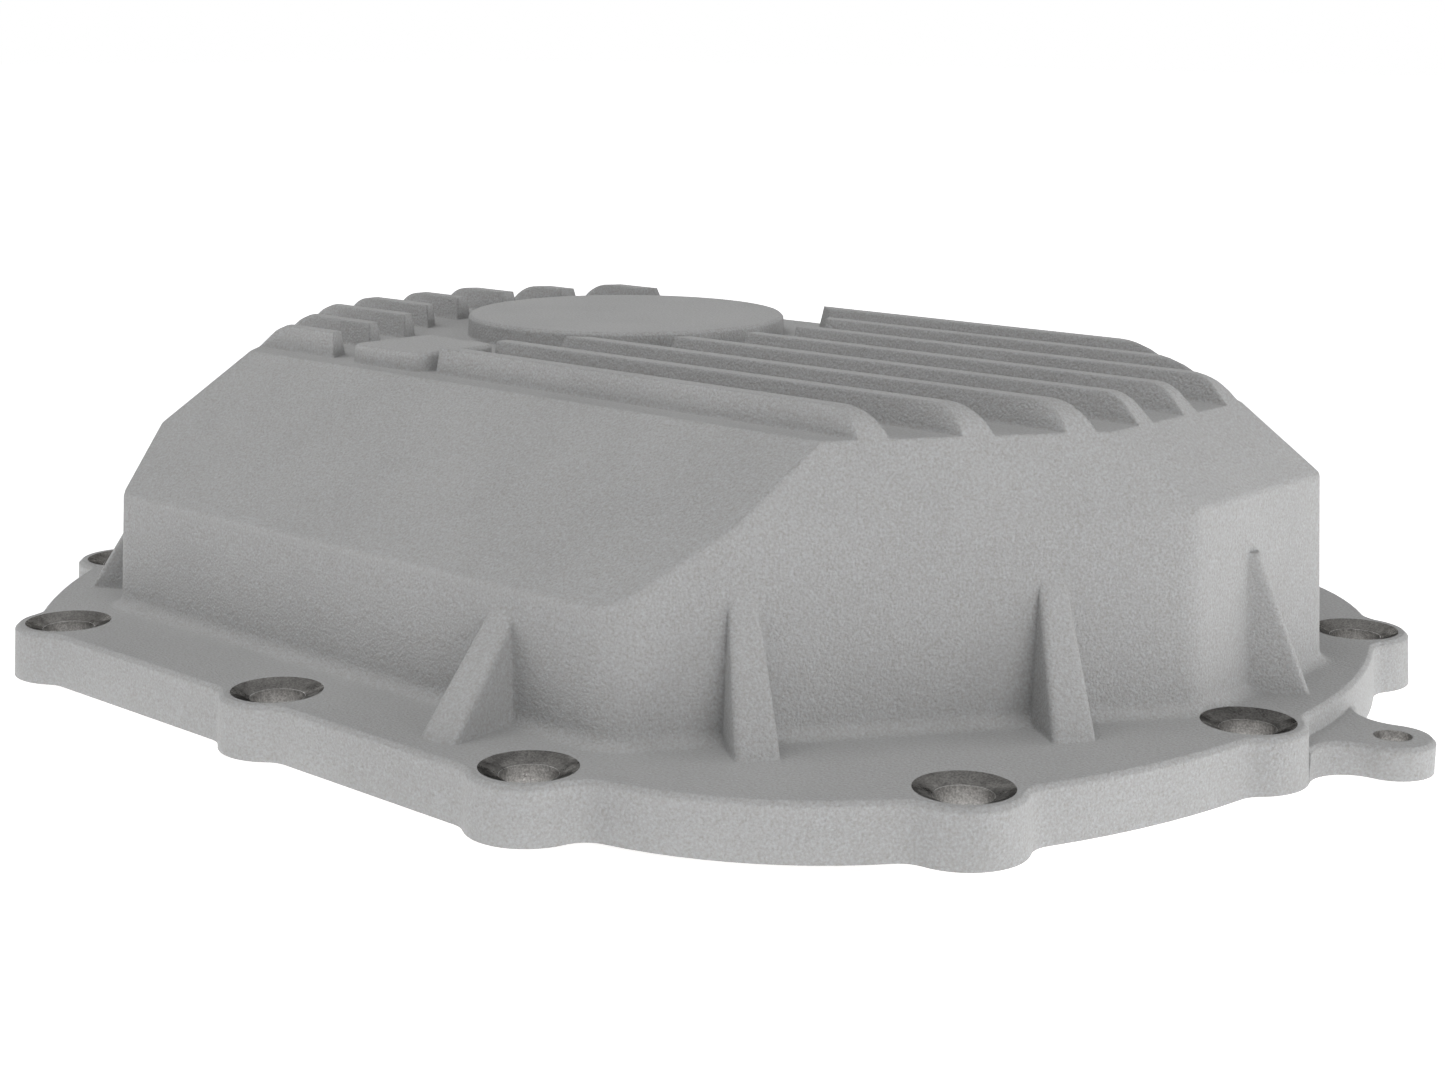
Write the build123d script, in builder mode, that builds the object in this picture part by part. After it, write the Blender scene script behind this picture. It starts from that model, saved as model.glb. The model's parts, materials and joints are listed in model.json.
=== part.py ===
from build123d import *
import math
import os

os.makedirs("parts", exist_ok=True)

# Finned differential cover, one aluminium casting, sizes in mm.
# The gasket face lies on Z 0 and the fins point up. The origin is the middle of the four
# side bolts nearest the corners. The cover is longest along X.

# Bolt pattern
side_bolt_x = 72.5
side_bolt_y = 114.8
middle_bolt_x = 2.6
middle_bolt_out = 1.2       # further out than the side bolts
bolt_circle = 144.3         # end bolts, about the middle of the round ends
bolt_circle_x = 9.8
end_bolt_angle = 29.9       # from the X axis
ear_bolt_y = -4.2           # single bolt beside the ear
ear_bolt_in = 2.8           # inside the bolt circle
far_bolt_in = 2.5           # single bolt at the other end
hole_radius = 5.35
sink_radius = 9.0           # machined cone at the top of each hole
sink_depth = 1.45

# Flange
flange_thickness = 11.0
flange_draft = 4.0          # degrees, also for the bosses
rim_margin = 4.3            # round ends beyond the bolt circle, at the gasket face
side_margin = 8.7           # straight sides beyond the side bolts
boss_radius = 11.8          # around each bolt, at the gasket face
boss_blend = 6.0            # inside corner between a boss and the rim
corner_radius = 73.4        # flatter rim between the side bolts and the ear end
corner_in = 0.5             # its start inside the side bolts
corner_cover = 1.2          # its end inside the boss of the end bolt
flange_edge = 0.8           # broken top edge

# Ear with its own hole, placed from the bolt beside it
ear_offset_x = 18.0
ear_offset_y = 23.4
ear_radius = 8.0
ear_thickness = 6.5
ear_hole_radius = 3.6
ear_near_blend = 8.0
ear_far_blend = 10.0

# Pan walls, at the top of the flange
pan_top = 69.5              # fin tops above the gasket face
side_wall_in = 14.8         # side bolts to the side walls
ear_wall_in = 12.1          # bolt circle to the end wall beside the ear
far_wall_in = 15.0          # bolt circle to the other end wall
far_corner_out = 3.5        # side walls run on past the side bolts
near_right_out = 4.2
back_right_out = 6.2
ear_wall_start = -7.0
ear_wall_end = 43.0
far_wall_half = 27.0
pan_rounds = [6, 10, 10, 6, 12, 6, 8, 8]
wall_draft = 3.5
wall = 6.0
foot_round = 3.0
shoulder_round = 1.5        # where a wall turns into its slope
shoulder_clear = 1.5        # no shoulder lies this near the floor of the fins
hollow_round = 7.0          # inside corners of the hollow

# Slopes between the walls and the floor of the fins
side_drop = 28.0            # height of the long side slopes
# Over the end walls: wall, height, angle from level, turn, corner that it turns about
end_slope_sizes = [
    (1, 15.3, 62.7, 0, 0),
    (2, 14.0, 43.8, 0, 0),
    (3, 14.0, 42.0, 0, 0),
    (5, 7.0, 60.0, -2, 0),
    (6, 9.0, 60.0, 0, 0),
    (7, 17.5, 41.0, 6, 1),
]

# Fins
fin_count = 8
fin_pitch = 16.5
fin_height = 5.5
fin_middle_y = 6.0          # the fins sit off centre, like the pad
fin_crest = 3.2
fin_draft = 10.0
fin_foot_round = 5.0
fin_crest_round = 0.7
crest_end_round = 8.0       # where the fins run out into the slopes

# Round pad with a clear ring around it
pad_x = -39.0
pad_y = 24.0
pad_radius = 39.0
pad_clear = 11.0
pad_edge = 0.7
pad_below = 0.5             # pad top below the fin tops

# Plain bar beside the pad, in a gap in the first three fins
bar_offset_x = 3.0
bar_apart = 17.0            # bar to pad
bar_length = 25.0
bar_width = 24.0
bar_round = 4.0
bar_below = 1.5
bar_gap = [(-11, -28), (16, -28), (16, 29), (-36, 29), (-27, 8)]
root = 5.0                  # pad and bar go this far into the floor

# Gussets between the flange and the walls: wall, place along it (from its end if negative),
# foot out from the wall, top below the wall's own top, turn
gusset_foot_width = 8.6
gusset_draft = 3.1
gusset_bite = 0.3           # crest into the wall
gusset_round = 1.0          # along the crest
gusset_sizes = [
    (0, -26.5, 17.0, 4.2, 6),
    (1, 25.4, 11.1, 10.0, 0),
    (1, -29.4, 12.4, 10.0, 0),
    (2, -20.5, 7.4, 11.2, 36),
    (3, -22.3, 9.3, 11.3, -5),
    (4, 28.5, 17.0, 4.2, -6),
    (5, 18.7, 13.9, 21.0, 0),
    (7, -18.7, 13.9, 10.5, 0),
]

deck_top = pan_top - fin_height
deck_half_y = fin_count * fin_pitch / 2
fin_span = (fin_count - 1) * fin_pitch / 2
rim_radius = bolt_circle + rim_margin
side_flat_y = side_bolt_y + side_margin
pan_side_y = side_bolt_y - side_wall_in
pan_right_x = bolt_circle_x + bolt_circle - ear_wall_in
pan_left_x = bolt_circle_x - bolt_circle + far_wall_in
bar_x = pad_x + bar_offset_x
bar_y = pad_y - pad_radius - bar_apart - bar_width / 2

side_bolts = [(sx * side_bolt_x, sy * side_bolt_y) for sx in (-1, 1) for sy in (-1, 1)]
middle_bolts = [(middle_bolt_x, sy * (side_bolt_y + middle_bolt_out)) for sy in (-1, 1)]
end_dx = bolt_circle * math.cos(math.radians(end_bolt_angle))
end_dy = bolt_circle * math.sin(math.radians(end_bolt_angle))
end_bolts = [(bolt_circle_x + sx * end_dx, sy * end_dy) for sx in (-1, 1) for sy in (-1, 1)]
ear_bolt = (bolt_circle_x + bolt_circle - ear_bolt_in, ear_bolt_y)
far_bolt = (bolt_circle_x - bolt_circle + far_bolt_in, 0)
bolts = side_bolts + middle_bolts + end_bolts + [ear_bolt, far_bolt]
ear = (ear_bolt[0] + ear_offset_x, ear_bolt[1] + ear_offset_y)


# Corners of the pan where its walls meet the top of the flange, anticlockwise from the
# near left. Each wall runs from its corner to the next one.
def pan_corners():
    return [
        (-side_bolt_x - far_corner_out, -pan_side_y),
        (side_bolt_x + near_right_out, -pan_side_y),
        (pan_right_x, ear_wall_start),
        (pan_right_x, ear_wall_end),
        (side_bolt_x + back_right_out, pan_side_y),
        (-side_bolt_x - far_corner_out, pan_side_y),
        (pan_left_x, far_wall_half),
        (pan_left_x, -far_wall_half),
    ]


def wall_line(index):
    corners = pan_corners()
    start, end = corners[index], corners[(index + 1) % len(corners)]
    angle = math.atan2(end[1] - start[1], end[0] - start[0]) - math.pi / 2
    return start, end, angle


# Height of the slope above each wall, from its foot to the floor between the fins
def slope_drop(index):
    drops = {0: side_drop, 4: side_drop}
    drops.update({row[0]: row[1] for row in end_slope_sizes})
    return drops[index]


def wall_lean(height):
    return (height - flange_thickness) * math.tan(math.radians(wall_draft))


# Plane of a slope above a wall, leaning in by the given angle from level. It can be turned
# about one corner of that wall, and moved inwards by a thickness.
def slope_plane(index, drop, angle, turn=0, corner=0, inset=0.0):
    start, end, out_angle = wall_line(index)
    pivot = end if corner else start
    shoulder = deck_top - drop
    lean = wall_lean(shoulder)
    flat, up = math.sin(math.radians(angle)), math.cos(math.radians(angle))
    azimuth = out_angle + math.radians(turn)
    normal = (math.cos(azimuth) * flat, math.sin(azimuth) * flat, up)
    point = (pivot[0] - math.cos(out_angle) * lean, pivot[1] - math.sin(out_angle) * lean,
             shoulder)
    point = tuple(p - n * inset for p, n in zip(point, normal))
    return Plane(origin=point, z_dir=normal)


def end_slopes(inset=0.0):
    return [slope_plane(*row, inset=inset) for row in end_slope_sizes]


# The two long side slopes end at the edge of the fin field
def side_run(side):
    return pan_side_y - wall_lean(deck_top - side_drop) - (deck_half_y + side * fin_middle_y)


def side_slopes(inset=0.0):
    angles = [math.degrees(math.atan2(side_drop, side_run(side))) for side in (-1, 1)]
    return [slope_plane(index, side_drop, angle, inset=inset)
            for index, angle in zip((0, 4), angles)]


# Flange with its bosses, widest at the gasket face
def rim_point(angle):
    a = math.radians(angle)
    return (bolt_circle_x + rim_radius * math.cos(a), rim_radius * math.sin(a))


corner_y = side_bolt_y - corner_in
corner_angle = end_bolt_angle + math.degrees((boss_radius - corner_cover) / rim_radius)
flat_end_x = bolt_circle_x - math.sqrt(rim_radius ** 2 - side_flat_y ** 2)

with BuildPart() as flange:
    with BuildSketch():
        with BuildLine():
            bend = rim_point(-corner_angle)
            far_bend = rim_point(corner_angle)
            Line((flat_end_x, -side_flat_y), (side_bolt_x, -side_flat_y))
            Line((side_bolt_x, -side_flat_y), (side_bolt_x, -corner_y))
            RadiusArc((side_bolt_x, -corner_y), bend, -corner_radius)
            ThreePointArc(bend, rim_point(0), far_bend)
            RadiusArc(far_bend, (side_bolt_x, corner_y), -corner_radius)
            Line((side_bolt_x, corner_y), (side_bolt_x, side_flat_y))
            Line((side_bolt_x, side_flat_y), (flat_end_x, side_flat_y))
            ThreePointArc((flat_end_x, side_flat_y), rim_point(180), (flat_end_x, -side_flat_y))
        make_face()
        for x, y in bolts:
            with Locations(Location((x, y, 0), (0, 0, math.degrees(math.atan2(-y, -x))))):
                Circle(boss_radius)
        fillet(vertices(), boss_blend)
    extrude(amount=flange_thickness, taper=flange_draft)
    chamfer(faces().sort_by(Axis.Z)[-1].edges(), flange_edge)


# Ear: a disc joined to the boss beside it and to the rim by two inside arcs
def blend_centre(c1, r1, c2, r2, radius, side):
    d1, d2 = r1 + radius, r2 + radius
    dx, dy = c2[0] - c1[0], c2[1] - c1[1]
    gap = math.hypot(dx, dy)
    along = (d1 ** 2 - d2 ** 2 + gap ** 2) / (2 * gap)
    across = side * math.sqrt(d1 ** 2 - along ** 2)
    return (c1[0] + (along * dx - across * dy) / gap, c1[1] + (along * dy + across * dx) / gap)


def toward(start, end, distance):
    gap = math.dist(start, end)
    return tuple(s + (e - s) * distance / gap for s, e in zip(start, end))


def middle(start, end):
    return ((start[0] + end[0]) / 2, (start[1] + end[1]) / 2)


rim_middle = (bolt_circle_x, 0)
near = blend_centre(ear_bolt, boss_radius, ear, ear_radius, ear_near_blend, -1)
far = blend_centre(rim_middle, rim_radius, ear, ear_radius, ear_far_blend, 1)
near_a, near_b = toward(ear_bolt, near, boss_radius), toward(ear, near, ear_radius)
far_a, far_b = toward(rim_middle, far, rim_radius), toward(ear, far, ear_radius)

with BuildPart() as lug:
    with BuildSketch():
        with BuildLine():
            ThreePointArc(near_a, toward(near, middle(near_a, near_b), ear_near_blend), near_b)
            Line(near_b, ear)
            Line(ear, far_b)
            ThreePointArc(far_b, toward(far, middle(far_a, far_b), ear_far_blend), far_a)
            Line(far_a, ear_bolt)
            Line(ear_bolt, near_a)
        make_face()
        with Locations(ear):
            Circle(ear_radius)
    extrude(amount=ear_thickness)
    lug_top = faces().sort_by(Axis.Z)[-1]
    chamfer(lug_top.edges().filter_by(GeomType.CIRCLE), flange_edge)

# Grooves and side slopes are cut along X with one outline each
reach = 2 * rim_radius


def fin_flank(y, out):
    lean = fin_height * math.tan(math.radians(fin_draft))
    top_y = y + out * fin_crest / 2
    return (top_y + out * lean, deck_top), (top_y, pan_top)


# Space beside a fin: floor outline given, the fin side has a round foot and a round crest
def cut_along(points, feet, crests):
    with BuildSketch(Plane.YZ.offset(-reach)) as outline:
        with BuildLine():
            Polyline(*points, close=True)
        make_face()
        for points_at, radius in ((feet, fin_foot_round), (crests, fin_crest_round)):
            for y, z in points_at:
                corner = outline.sketch.vertices().sort_by_distance((-reach, y, z))[0]
                fillet(corner, radius)
    extrude(outline.sketch, amount=2 * reach, mode=Mode.SUBTRACT)


def side_slope(side):
    foot, crest = fin_flank(fin_middle_y + side * fin_span, side)
    edge = (fin_middle_y + side * deck_half_y, deck_top)
    beyond = pan_side_y + 10
    fall = (beyond - abs(edge[0])) * side_drop / side_run(side)
    outer, above = (side * beyond, deck_top - fall), pan_top + 10
    inner = crest[0] - side * fin_crest_round
    points = [foot, edge, outer, (outer[0], above), (inner, above), (inner, pan_top), crest]
    return points, [foot], [crest]


def groove(y):
    left_foot, left_crest = fin_flank(y - fin_pitch / 2, 1)
    right_foot, right_crest = fin_flank(y + fin_pitch / 2, -1)
    above = pan_top + 10
    left_in, right_in = left_crest[0] - fin_crest_round, right_crest[0] + fin_crest_round
    points = [left_foot, right_foot, right_crest, (right_in, pan_top), (right_in, above),
              (left_in, above), (left_in, pan_top), left_crest]
    return points, [left_foot, right_foot], [left_crest, right_crest]


# Pad and bar, rooted in the floor between the fins
with BuildPart() as pad:
    top = pan_top - pad_below
    with BuildSketch(Plane.XZ):
        Polygon((0, deck_top - root), (pad_radius, deck_top - root),
                (pad_radius - pad_edge / 2, top - pad_edge), (pad_radius - 1.5 * pad_edge, top),
                (0, top), align=None)
    revolve(axis=Axis.Z)

with BuildPart() as bar:
    with BuildSketch(Plane.XY.offset(deck_top - root)):
        with Locations((bar_x, bar_y)):
            RectangleRounded(bar_length, bar_width, bar_round)
    extrude(amount=root + fin_height - bar_below, taper=3)
    chamfer(faces().sort_by(Axis.Z)[-1].edges(), pad_edge)


# A shoulder is a level edge where a wall turns into its slope
def is_shoulder(edge):
    rise = abs(edge.vertices()[-1].Z - edge.vertices()[0].Z)
    in_band = flange_thickness + 1 < edge.center().Z < deck_top - shoulder_clear
    return in_band and rise < 0.02 * edge.length


# Pan: the walls lean in, and slopes cut the top back on every side
with BuildPart() as pan:
    with BuildSketch(Plane.XY.offset(flange_thickness)):
        with BuildLine():
            Polyline(*pan_corners(), close=True)
        make_face()
        for corner, radius in zip(pan_corners(), pan_rounds):
            fillet(vertices().sort_by_distance((*corner, flange_thickness))[0], radius)
    extrude(amount=pan_top - flange_thickness, taper=wall_draft)
    for plane in end_slopes():
        split(bisect_by=plane, keep=Keep.BOTTOM)
    fillet(faces().sort_by(Axis.Z)[-1].edges(), crest_end_round)
    for side in (-1, 1):
        cut_along(*side_slope(side))
    for index in range(fin_count - 1):
        cut_along(*groove(fin_middle_y + (index - (fin_count - 2) / 2) * fin_pitch))

    with BuildSketch(Plane.XY.offset(deck_top)):
        with Locations((pad_x, pad_y)):
            Circle(pad_radius + pad_clear)
    extrude(amount=2 * fin_height, taper=-fin_draft / 2, mode=Mode.SUBTRACT)
    with BuildSketch(Plane.XY.offset(deck_top)):
        Polygon(*[(bar_x + x, bar_y + y) for x, y in bar_gap], align=None)
    extrude(amount=2 * fin_height, taper=-fin_draft / 2, mode=Mode.SUBTRACT)
    with Locations((pad_x, pad_y)):
        add(pad.part)
    add(bar.part)
    fillet([e for e in edges() if is_shoulder(e)], shoulder_round)

# Hollow underneath, the same shape one wall thickness inside
with BuildPart() as hollow:
    with BuildSketch():
        with BuildLine():
            Polyline(*pan_corners(), close=True)
        make_face()
        offset(amount=-wall, kind=Kind.INTERSECTION, mode=Mode.REPLACE)
        fillet(vertices(), hollow_round)
    extrude(amount=deck_top - wall, taper=wall_draft)
    for plane in end_slopes(inset=wall) + side_slopes(inset=wall):
        split(bisect_by=plane, keep=Keep.BOTTOM)


# Gusset: a drafted web from the flange up a wall, cut back by its sloping crest
def gusset(index, along, out, below, turn):
    start, end, angle = wall_line(index)
    if along < 0:
        along += math.dist(start, end)
    on_wall = toward(start, end, along)
    foot = (on_wall[0] + out * math.cos(angle), on_wall[1] + out * math.sin(angle))
    top_z = deck_top - slope_drop(index) - below
    height = top_z - flange_thickness
    run = out / math.cos(math.radians(turn)) + wall_lean(top_z) + gusset_bite
    azimuth = angle + math.radians(turn)
    inward = (-math.cos(azimuth), -math.sin(azimuth), 0)
    across = (-inward[1], inward[0], 0)
    narrow = (height + 2) * math.tan(math.radians(gusset_draft))
    plane = Plane(origin=(*foot, flange_thickness - 2), x_dir=across, z_dir=inward)
    up = 1 if plane.y_dir.Z > 0 else -1
    half, tip = gusset_foot_width / 2, gusset_foot_width / 2 - narrow
    with BuildPart() as web:
        with BuildSketch(plane):
            Polygon((-half, 0), (half, 0), (tip, up * (height + 2)), (-tip, up * (height + 2)),
                    align=None)
        extrude(amount=run + wall / 2)
        crest = (-inward[0] * height, -inward[1] * height, run)
        split(bisect_by=Plane(origin=(*foot, flange_thickness), z_dir=crest),
              keep=Keep.BOTTOM)
        crest_face = faces().sort_by(Axis((*foot, flange_thickness), crest))[-1]
        fillet(crest_face.edges().sort_by(SortBy.LENGTH)[-2:], gusset_round)
    return web.part


# Cutter for a bolt hole with its machined cone
def bolt_hole():
    top = flange_thickness
    with BuildPart() as cutter:
        with BuildSketch(Plane.XZ):
            Polygon((0, -1), (hole_radius, -1), (hole_radius, top - sink_depth),
                    (sink_radius, top), (sink_radius, top + 3), (0, top + 3), align=None)
        revolve(axis=Axis.Z)
    return cutter.part


with BuildPart() as cover:
    add(flange.part)
    add(pan.part)
    foot = [e.center() for e in pan.faces().sort_by(Axis.Z)[0].edges()]
    fillet([e for e in edges() if min((e.center() - f).length for f in foot) < 0.01], foot_round)
    add(lug.part)
    for row in gusset_sizes:
        add(gusset(*row))
    add(hollow.part, mode=Mode.SUBTRACT)
    for x, y in bolts:
        with Locations((x, y)):
            add(bolt_hole(), mode=Mode.SUBTRACT)
    with Locations((*ear, ear_thickness / 2)):
        Cylinder(ear_hole_radius, 2 * ear_thickness, mode=Mode.SUBTRACT)

cover.part.label = "differential_cover"
export_step(cover.part, "parts/differential_cover.step")
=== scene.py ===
import json
import math

import bpy
from mathutils import Matrix, Vector

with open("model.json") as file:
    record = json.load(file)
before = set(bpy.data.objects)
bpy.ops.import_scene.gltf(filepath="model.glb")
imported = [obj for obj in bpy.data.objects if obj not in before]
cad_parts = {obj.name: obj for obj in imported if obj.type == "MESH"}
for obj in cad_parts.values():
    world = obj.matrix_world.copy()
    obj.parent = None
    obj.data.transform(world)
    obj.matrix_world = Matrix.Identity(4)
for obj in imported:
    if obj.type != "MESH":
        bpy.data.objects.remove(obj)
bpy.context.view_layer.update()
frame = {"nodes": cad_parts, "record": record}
cover = frame["nodes"]["differential_cover"]

# Sizes of the CAD model that the finishes follow, in metres
FLANGE_TOP = 0.011
DECK_TOP = 0.064
SINK_RADIUS = 0.009
BOLT_RADIUS = 0.00535
REACH_MARGIN = 0.00005
GASKET_MARGIN = 0.00001

# Edge radii that the cast finish shows, in metres, and the height over which they change
SHARP_EDGE = 0.0001
CRISP_EDGE = 0.0009
SOFT_EDGE = 0.0022
EDGE_FADE = 0.004
EDGE_SAMPLES = 8

# Upright part of a normal from which a face counts as level
LEVEL = 0.999

# Material slots of the cover
CAST, TURNED, MILLED = 0, 1, 2

# Cast skin: noise scales (larger is finer), bump heights in metres, and greys
SKIN_SCALE, SKIN_HEIGHT = 900, 0.00020
GRAIN_SCALE, GRAIN_HEIGHT = 1900, 0.00022
WAVE_SCALE, WAVE_HEIGHT, WAVE_STRENGTH = 60, 0.0006, 0.4
BLOTCH_SCALE = 30
DUST_SCALE = 2000
DUST_SHARE = 0.6
CAST_GREYS = ("a2a2a2", "a7a7a7")
DARK_DUST = "94928c"
PALE_DUST = "b4b6b9"

# Turned metal in the cones and holes: the same, with painted shade darkening the cones and
# painted light brightening the bores, and dark where it is seen at a flat angle
RING_SCALE, RING_HEIGHT, RING_STRENGTH = 5200, 0.00003, 0.7
BAND_SCALE, BAND_HEIGHT, BAND_STRENGTH = 1300, 0.00004, 0.5
WEAR_SCALE = 340
SPECK_SCALE = 2600
SPECK_LOW, SPECK_HIGH = 0.72, 1.28
RING_SHARE = 0.3
# One metal in cones and bores: the dark cone greys are painted shade, the pale bore greys
# painted light
CONE_PAINTED_SHADE_GREYS = ("5a5958", "72716f")
BORE_PAINTED_LIGHT_GREYS = ("bebdbc", "d2d1d0")
RING_GREY = "9c9a96"
FLAT_ANGLE_TINT = (0.05, 0.05, 0.05, 1.0)

# Milled gasket face: width of the cutter's passes, their bow at a whole width from the
# middle, both in metres, and the fine lines
PASS_WIDTH = 0.052
PASS_BOW = 0.022
LINE_SCALE, LINE_HEIGHT, LINE_STRENGTH = 2600, 0.00003, 0.7
FACE_WEAR_SCALE = 60
LINE_SHARE = 0.35
FACE_GREYS = ("9a9896", "b0aeab")
LINE_GREY = "c2c0bd"

# Floor: half its side and its level in metres, its grey, and a glow that only the camera and
# reflections see, which grows from the near strength to white between two distances
FLOOR_HALF = 8.0
FLOOR_LEVEL = -0.0014
FLOOR_GREY = (0.88, 0.88, 0.88, 1)
GLOW_NEAR, GLOW_FAR = 0.25, 1.2
GLOW_NEAR_STRENGTH = 0.65
WHITE = (1, 1, 1, 1)

# Strength of the light that the world adds to the cover, where 1 is white
WORLD_LEVEL = 0.02

# Square soft lamps round the cover: name, azimuth and elevation in degrees, and power in watts
AIM = Vector((0.01, 0, 0.03))
LAMP_DISTANCE = 1.7
LAMP_SIZE = 1.1
LAMPS = (
    ("above", -48, 65, 9),
    ("above_left", -130, 60, 9),
    ("right", 45, 4, 18),
    ("front", -15, 4, 15.5),
    ("left", -140, 8, 7.5),
    ("back", 125, 12, 2.5),
)

# Light table just under the gasket face, which stands for the white surface round the cover
TABLE_TOP = -0.0012
TABLE_SIZE = 1.0
TABLE_POWER = 2.6

# Camera: lens and sensor in millimetres, place in metres, turns in degrees
LENS, SENSOR = 55.964, 36.0
CAMERA_PLACE = (0.34709, -0.37104, 0.13585)
HEADING, LOOK_DOWN, ROLL = 41.849, 12.728, 0.4005


# Middle and machined reach of every hole, worked out from the record's mounts
def hole_rings():
    rings = []
    for mount in frame["record"]["mounts"]:
        x, y = mount["pos_m"][:2]
        sizes = mount["dims"]
        if mount["kind"] == "bolt_pattern":
            half_x = sizes.get("spacing_x_mm", 0) / 2000
            half_y = sizes["spacing_y_mm"] / 2000
            for side_x in ((-1, 1) if half_x else (0,)):
                for side_y in (-1, 1):
                    middle = Vector((x + side_x * half_x, y + side_y * half_y))
                    rings.append((middle, SINK_RADIUS))
        elif mount["kind"] == "bore":
            radius = sizes["r_mm"] / 1000
            sunk = radius > BOLT_RADIUS - REACH_MARGIN
            rings.append((Vector((x, y)), SINK_RADIUS if sunk else radius))
    return rings


HOLE_RINGS = hole_rings()


# Node tree helper: adds nodes by type name, sets their values and links their inputs
class Tree:
    def __init__(self, owner):
        owner.use_nodes = True
        self.nodes = owner.node_tree.nodes
        self.links = owner.node_tree.links
        self.nodes.clear()

    def add(self, kind, inputs=None, **settings):
        made = self.nodes.new(kind)
        for name, value in settings.items():
            setattr(made, name, value)
        for name, value in (inputs or {}).items():
            socket = made.inputs[name]
            if isinstance(value, bpy.types.NodeSocket):
                self.links.new(value, socket)
            else:
                socket.default_value = value
        return made

    def math(self, operation, a, b=0.0):
        made = self.add("ShaderNodeMath", {0: a, 1: b}, operation=operation)
        return made.outputs[0]

    def vector(self, operation, a, b=(0, 0, 0)):
        made = self.add("ShaderNodeVectorMath", {0: a, 1: b}, operation=operation)
        return made.outputs["Value" if operation == "LENGTH" else "Vector"]

    def noise(self, place, scale, detail=2.0, roughness=0.5):
        made = self.add("ShaderNodeTexNoise", {"Vector": place, "Scale": scale,
                                               "Detail": detail, "Roughness": roughness})
        return made.outputs["Fac"]

    def spread(self, value, low, high, to_low=0.0, to_high=1.0):
        made = self.add("ShaderNodeMapRange", {"Value": value, "From Min": low,
                                               "From Max": high, "To Min": to_low,
                                               "To Max": to_high})
        return made.outputs["Result"]

    def bump(self, height, distance, strength=1.0, normal=None):
        inputs = {"Height": height, "Distance": distance, "Strength": strength}
        if normal is not None:
            inputs["Normal"] = normal
        return self.add("ShaderNodeBump", inputs).outputs["Normal"]

    # Inputs 0, 6 and 7 and output 2 of the mix node are its factor and its colours
    def mix(self, factor, a, b):
        made = self.add("ShaderNodeMix", {0: factor, 6: a, 7: b}, data_type="RGBA")
        return made.outputs[2]

    def place(self):
        return self.add("ShaderNodeTexCoord").outputs["Object"]

    def height(self, place):
        return self.add("ShaderNodeSeparateXYZ", {0: place}).outputs["Z"]

    # Vector with the given value as its X, for noise that changes in one direction only
    def along_x(self, value):
        return self.add("ShaderNodeCombineXYZ", {"X": value}).outputs[0]

    def end_in(self, shader):
        self.add("ShaderNodeOutputMaterial", {"Surface": shader.outputs[0]})


# Linear colour of a six-digit code
def linear(code):
    levels = [int(code[i:i + 2], 16) / 255 for i in (0, 2, 4)]
    return tuple(v / 12.92 if v < 0.04045 else ((v + 0.055) / 1.055) ** 2.4
                 for v in levels) + (1.0,)


# Edge softness by height: sharp at the machined gasket face, crisp on the flange and on the
# fins, and soft on the pan between them
def edge_radius(tree, place):
    height = tree.height(place)
    at_foot = tree.spread(height, 0.0, EDGE_FADE, SHARP_EDGE, CRISP_EDGE)
    above_flange = tree.spread(height, FLANGE_TOP, FLANGE_TOP + EDGE_FADE, 0.0,
                               SOFT_EDGE - CRISP_EDGE)
    rising = tree.math("ADD", at_foot, above_flange)
    below_fins = tree.spread(height, DECK_TOP - EDGE_FADE, DECK_TOP, SOFT_EDGE, CRISP_EDGE)
    return tree.math("MINIMUM", rising, below_fins)


# Sand cast aluminium: soft edges, a fine leathery skin and faint blotches
def cast_metal():
    material = bpy.data.materials.new("cast_aluminium")
    tree = Tree(material)
    place = tree.place()
    soft = tree.add("ShaderNodeBevel", {"Radius": edge_radius(tree, place)},
                    samples=EDGE_SAMPLES).outputs["Normal"]

    skin = tree.noise(place, SKIN_SCALE, 3.0, 0.6)
    grain = tree.noise(place, GRAIN_SCALE, 1.0)
    waves = tree.noise(place, WAVE_SCALE)
    blotch = tree.noise(place, BLOTCH_SCALE, 3.0, 0.6)
    dust = tree.noise(place, DUST_SCALE, 2.0, 0.6)

    normal = tree.bump(waves, WAVE_HEIGHT, WAVE_STRENGTH, soft)
    normal = tree.bump(skin, SKIN_HEIGHT, 1.0, normal)
    normal = tree.bump(grain, GRAIN_HEIGHT, 1.0, normal)

    dark, pale = map(linear, CAST_GREYS)
    shade = tree.mix(tree.spread(blotch, 0.35, 0.65), dark, pale)
    dark_share = tree.spread(dust, 0.50, 0.72, 0.0, DUST_SHARE)
    shade = tree.mix(dark_share, shade, linear(DARK_DUST))
    pale_share = tree.spread(dust, 0.50, 0.28, 0.0, DUST_SHARE)
    shade = tree.mix(pale_share, shade, linear(PALE_DUST))

    tree.end_in(tree.add("ShaderNodeBsdfPrincipled", {
        "Base Color": shade, "Roughness": tree.spread(skin, 0.3, 0.7, 0.66, 0.78),
        "Normal": normal, "Metallic": 0.10, "Specular IOR Level": 0.1,
    }))
    return material


# Vector from the nearest hole's middle to the shaded point, level with the gasket face
def from_nearest_hole(tree, place):
    flat = tree.vector("MULTIPLY", place, (1, 1, 0))
    offset = tree.vector("SUBTRACT", flat, (*HOLE_RINGS[0][0], 0))
    for centre, _ in HOLE_RINGS[1:]:
        other = tree.vector("SUBTRACT", flat, (*centre, 0))
        nearer = tree.math("LESS_THAN", tree.vector("LENGTH", other),
                           tree.vector("LENGTH", offset))
        offset = tree.add("ShaderNodeMix", {0: nearer, 4: offset, 5: other},
                          data_type="VECTOR").outputs[1]
    return offset
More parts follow.
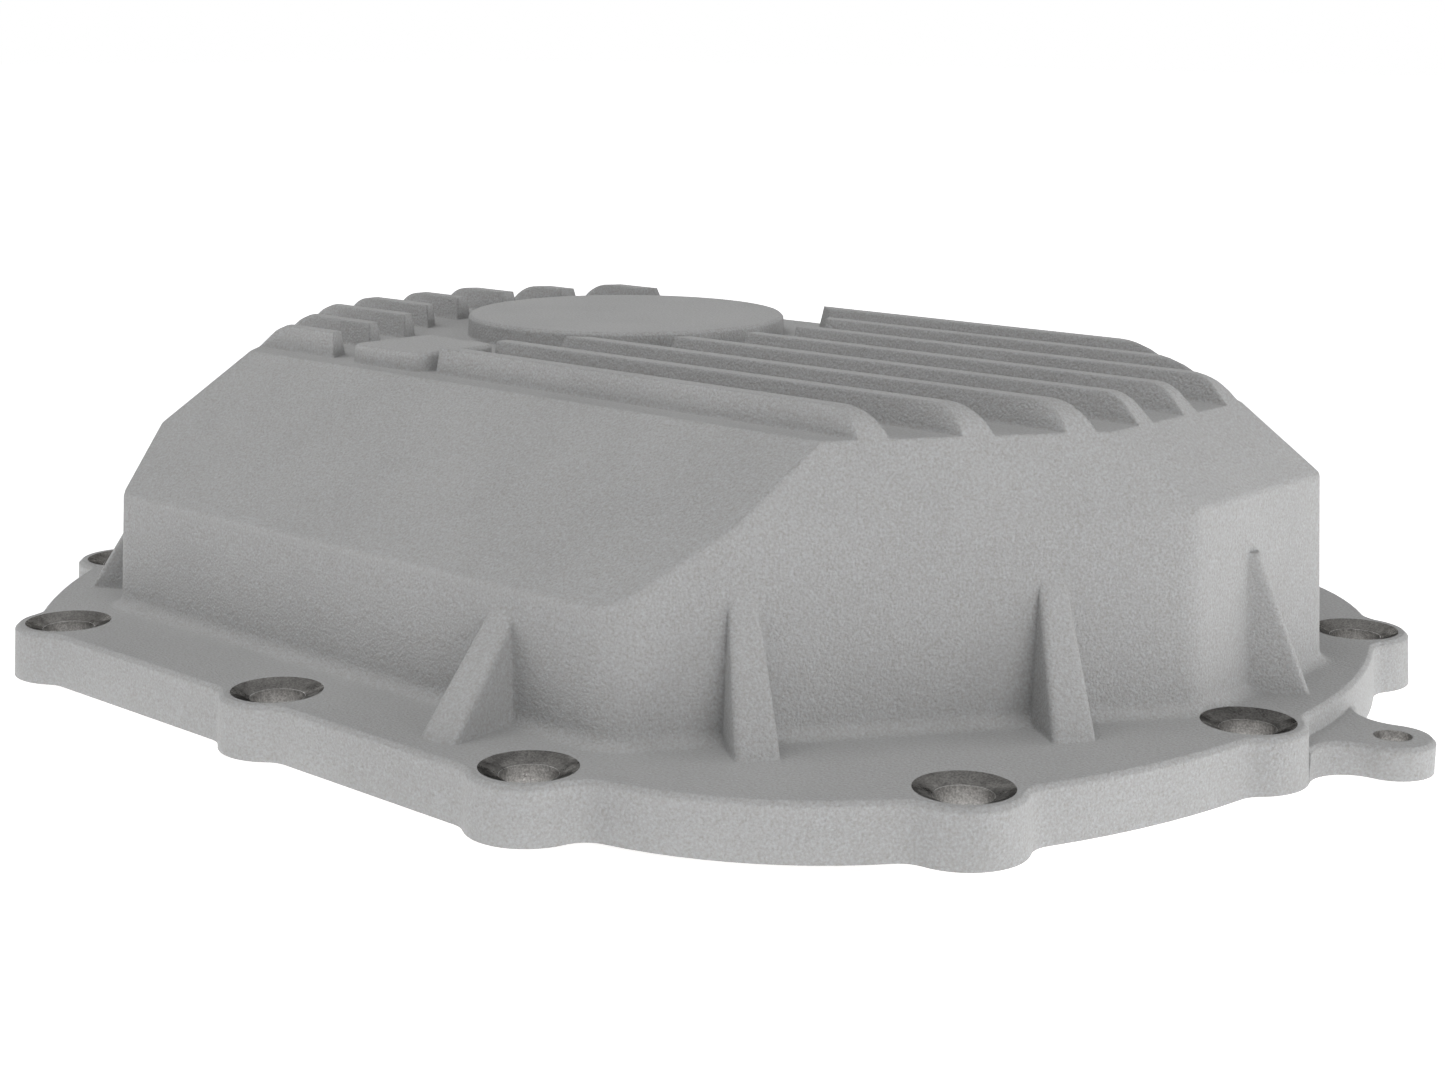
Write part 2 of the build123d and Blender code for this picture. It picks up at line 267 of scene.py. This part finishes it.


# Machined metal in the cones and holes: cones darkened by painted shade, bores lightened by
# painted light, turning marks and specks
def turned_metal():
    material = bpy.data.materials.new("turned_aluminium")
    tree = Tree(material)
    place = tree.place()
    offset = from_nearest_hole(tree, place)
    radius = tree.vector("LENGTH", offset)
    ring_place = tree.along_x(tree.math("ADD", radius, tree.height(place)))
    rings = tree.noise(ring_place, RING_SCALE, 2.0, 0.6)
    bands = tree.noise(ring_place, BAND_SCALE, 1.0)
    wear = tree.noise(place, WEAR_SCALE, 3.0, 0.6)
    specks = tree.noise(place, SPECK_SCALE, 2.0, 0.6)
    tangent = tree.vector("NORMALIZE", tree.vector("CROSS_PRODUCT", (0, 0, 1), offset))

    normal = tree.bump(rings, RING_HEIGHT, RING_STRENGTH)
    normal = tree.bump(bands, BAND_HEIGHT, BAND_STRENGTH, normal)

    worn = tree.spread(wear, 0.35, 0.7)
    # Painted shade on the cones and painted light in the bores, both on the same turned metal
    shaded_cone = tree.mix(worn, *map(linear, CONE_PAINTED_SHADE_GREYS))
    bore = tree.mix(worn, *map(linear, BORE_PAINTED_LIGHT_GREYS))
    lit_bore_mask = tree.math("LESS_THAN", radius, BOLT_RADIUS + REACH_MARGIN)
    shade = tree.mix(lit_bore_mask, shaded_cone, bore)
    shade = tree.mix(tree.math("MULTIPLY", rings, RING_SHARE), shade, linear(RING_GREY))
    speckled = tree.spread(specks, 0.35, 0.65, SPECK_LOW, SPECK_HIGH)
    shade = tree.vector("MULTIPLY", shade, speckled)

    tree.end_in(tree.add("ShaderNodeBsdfPrincipled", {
        "Base Color": shade, "Roughness": tree.spread(wear, 0.3, 0.7, 0.26, 0.42),
        "Normal": normal, "Metallic": 1.0, "Specular Tint": FLAT_ANGLE_TINT,
        "Anisotropic": 0.8, "Tangent": tangent,
    }))
    return material


# Milled gasket face underneath: overlapping shallow arcs from a face cutter
def milled_metal():
    material = bpy.data.materials.new("milled_aluminium")
    tree = Tree(material)
    place = tree.place()
    parts = tree.add("ShaderNodeSeparateXYZ", {0: place})
    across = tree.math("DIVIDE", parts.outputs["Y"], PASS_WIDTH)
    from_middle = tree.math("SUBTRACT", across, tree.math("ROUND", across))
    bow = tree.math("MULTIPLY", tree.math("MULTIPLY", from_middle, from_middle), PASS_BOW)
    swept = tree.along_x(tree.math("ADD", parts.outputs["X"], bow))
    lines = tree.noise(swept, LINE_SCALE, 2.0, 0.7)
    wear = tree.noise(place, FACE_WEAR_SCALE, 3.0, 0.6)

    shade = tree.mix(tree.spread(wear, 0.3, 0.7), *map(linear, FACE_GREYS))
    shade = tree.mix(tree.math("MULTIPLY", lines, LINE_SHARE), shade, linear(LINE_GREY))

    tree.end_in(tree.add("ShaderNodeBsdfPrincipled", {
        "Base Color": shade, "Roughness": tree.spread(wear, 0.3, 0.7, 0.30, 0.42),
        "Normal": tree.bump(lines, LINE_HEIGHT, LINE_STRENGTH), "Metallic": 0.9,
    }))
    return material


# Each face of the casting takes the finish of the tool that made it
def finish_faces(piece):
    mesh = piece.data
    mesh.materials.clear()
    for material in (cast_metal(), turned_metal(), milled_metal()):
        mesh.materials.append(material)
    for face in mesh.polygons:
        spot = face.center
        up = face.normal.z
        bored = any((spot.xy - centre).length < reach + REACH_MARGIN
                    for centre, reach in HOLE_RINGS)
        if up < -LEVEL and spot.z < GASKET_MARGIN:
            face.material_index = MILLED
        elif bored and abs(up) <= LEVEL and spot.z < FLANGE_TOP:
            face.material_index = TURNED
        else:
            face.material_index = CAST


finish_faces(cover)


# One for camera rays and for rays reflected by or sent through gloss and glass, else nought
def seen_rays(tree):
    path = tree.add("ShaderNodeLightPath")
    seen = tree.math("MAXIMUM", path.outputs["Is Camera Ray"], path.outputs["Is Glossy Ray"])
    return tree.math("MAXIMUM", seen, path.outputs["Is Transmission Ray"])


# White floor that keeps the cover's shadow
def make_floor():
    mesh = bpy.data.meshes.new("floor")
    corners = [(FLOOR_HALF * x, FLOOR_HALF * y, FLOOR_LEVEL)
               for x, y in ((-1, -1), (1, -1), (1, 1), (-1, 1))]
    mesh.from_pydata(corners, [], [(0, 1, 2, 3)])
    floor = bpy.data.objects.new("floor", mesh)
    bpy.context.scene.collection.objects.link(floor)

    material = bpy.data.materials.new("floor_white")
    tree = Tree(material)
    paint = tree.add("ShaderNodeBsdfDiffuse", {"Color": FLOOR_GREY})
    distance = tree.vector("LENGTH", tree.place())
    glow = tree.spread(distance, GLOW_NEAR, GLOW_FAR, GLOW_NEAR_STRENGTH, 1.0)
    strength = tree.math("MULTIPLY", seen_rays(tree), glow)
    light = tree.add("ShaderNodeEmission", {"Color": WHITE, "Strength": strength})
    tree.end_in(tree.add("ShaderNodeAddShader", {0: paint.outputs[0], 1: light.outputs[0]}))
    mesh.materials.append(material)


# World that is white to the camera and in reflections, and adds little light of its own
def make_world():
    world = bpy.data.worlds.new("studio")
    bpy.context.scene.world = world
    tree = Tree(world)
    strength = tree.spread(seen_rays(tree), 0.0, 1.0, WORLD_LEVEL, 1.0)
    back = tree.add("ShaderNodeBackground", {"Color": WHITE, "Strength": strength})
    tree.add("ShaderNodeOutputWorld", {"Surface": back.outputs[0]})


# Square lamp that looks at the middle of the cover
def soft_lamp(name, azimuth, elevation, power, distance=LAMP_DISTANCE, size=LAMP_SIZE):
    light = bpy.data.lights.new(name, "AREA")
    light.shape = "SQUARE"
    light.size = size
    light.energy = power
    lamp = bpy.data.objects.new(name, light)
    turn, rise = math.radians(azimuth), math.radians(elevation)
    direction = Vector((math.cos(turn) * math.cos(rise), math.sin(turn) * math.cos(rise),
                        math.sin(rise)))
    lamp.location = AIM + direction * distance
    lamp.rotation_mode = "QUATERNION"
    lamp.rotation_quaternion = direction.to_track_quat("Z", "Y")
    lamp.visible_camera = False
    bpy.context.scene.collection.objects.link(lamp)


make_floor()
make_world()
for lamp_values in LAMPS:
    soft_lamp(*lamp_values)
soft_lamp("table", 0, -90, TABLE_POWER, AIM.z - TABLE_TOP, TABLE_SIZE)


# Camera of the photograph
def make_camera():
    data = bpy.data.cameras.new("camera")
    data.sensor_width = SENSOR
    data.lens = LENS
    camera = bpy.data.objects.new("camera", data)
    camera.matrix_world = (Matrix.Translation(CAMERA_PLACE)
                           @ Matrix.Rotation(math.radians(HEADING), 4, "Z")
                           @ Matrix.Rotation(math.radians(90 - LOOK_DOWN), 4, "X")
                           @ Matrix.Rotation(math.radians(ROLL), 4, "Z"))
    bpy.context.scene.collection.objects.link(camera)
    bpy.context.scene.camera = camera


make_camera()
bpy.context.scene.view_settings.view_transform = "Standard"
